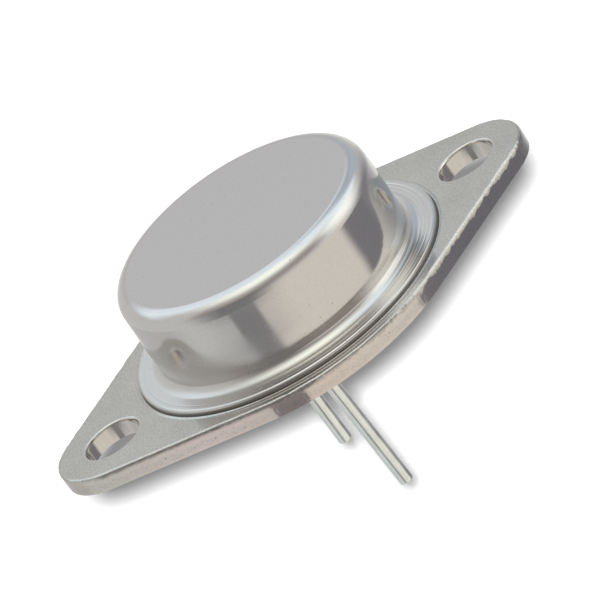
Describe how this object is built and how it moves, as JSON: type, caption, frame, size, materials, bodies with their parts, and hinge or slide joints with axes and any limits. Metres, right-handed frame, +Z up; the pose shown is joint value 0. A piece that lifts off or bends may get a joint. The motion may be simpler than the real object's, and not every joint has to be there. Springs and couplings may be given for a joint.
{
  "type": "power transistor",
  "caption": "Power transistor in a metal can: a rhombic header plate with mounting holes at its ends carries a low round cap above and round leads in glass seals below.",
  "frame": {"origin": "centre of the header plate's seating face, midway between the two mounting holes", "axes": "+Z up through the cap, away from the leads; X from mounting hole to mounting hole, with the leads offset towards -X; the emitter lead is on the -Y side and the base lead on the +Y side"},
  "size_m": [0.0386, 0.0254, 0.0202],
  "materials": {
    "header_nickel": "satin nickel plate on blanked steel",
    "cap_nickel": "bright nickel plate on drawn steel",
    "lead_nickel": "nickel-plated nickel-iron wire",
    "seal_glass": "fused sealing glass",
    "braze": "silver-copper braze",
    "copper": "rolled copper",
    "solder": "soft solder",
    "silicon": "etched silicon",
    "contact_metal": "evaporated aluminium",
    "bond_wire": "drawn aluminium wire"
  },
  "bodies": {
    "root": {"header_plate": "header_nickel", "cap": "cap_nickel", "emitter_seal": "seal_glass", "base_seal": "seal_glass", "emitter_lead": "lead_nickel", "base_lead": "lead_nickel", "spreader_braze": "braze", "heat_spreader": "copper", "die_solder": "solder", "transistor_die": "silicon", "emitter_contact": "contact_metal", "base_contact": "contact_metal", "emitter_wire_left": "bond_wire", "emitter_wire_right": "bond_wire", "base_wire": "bond_wire"}
  },
  "joints": []
}
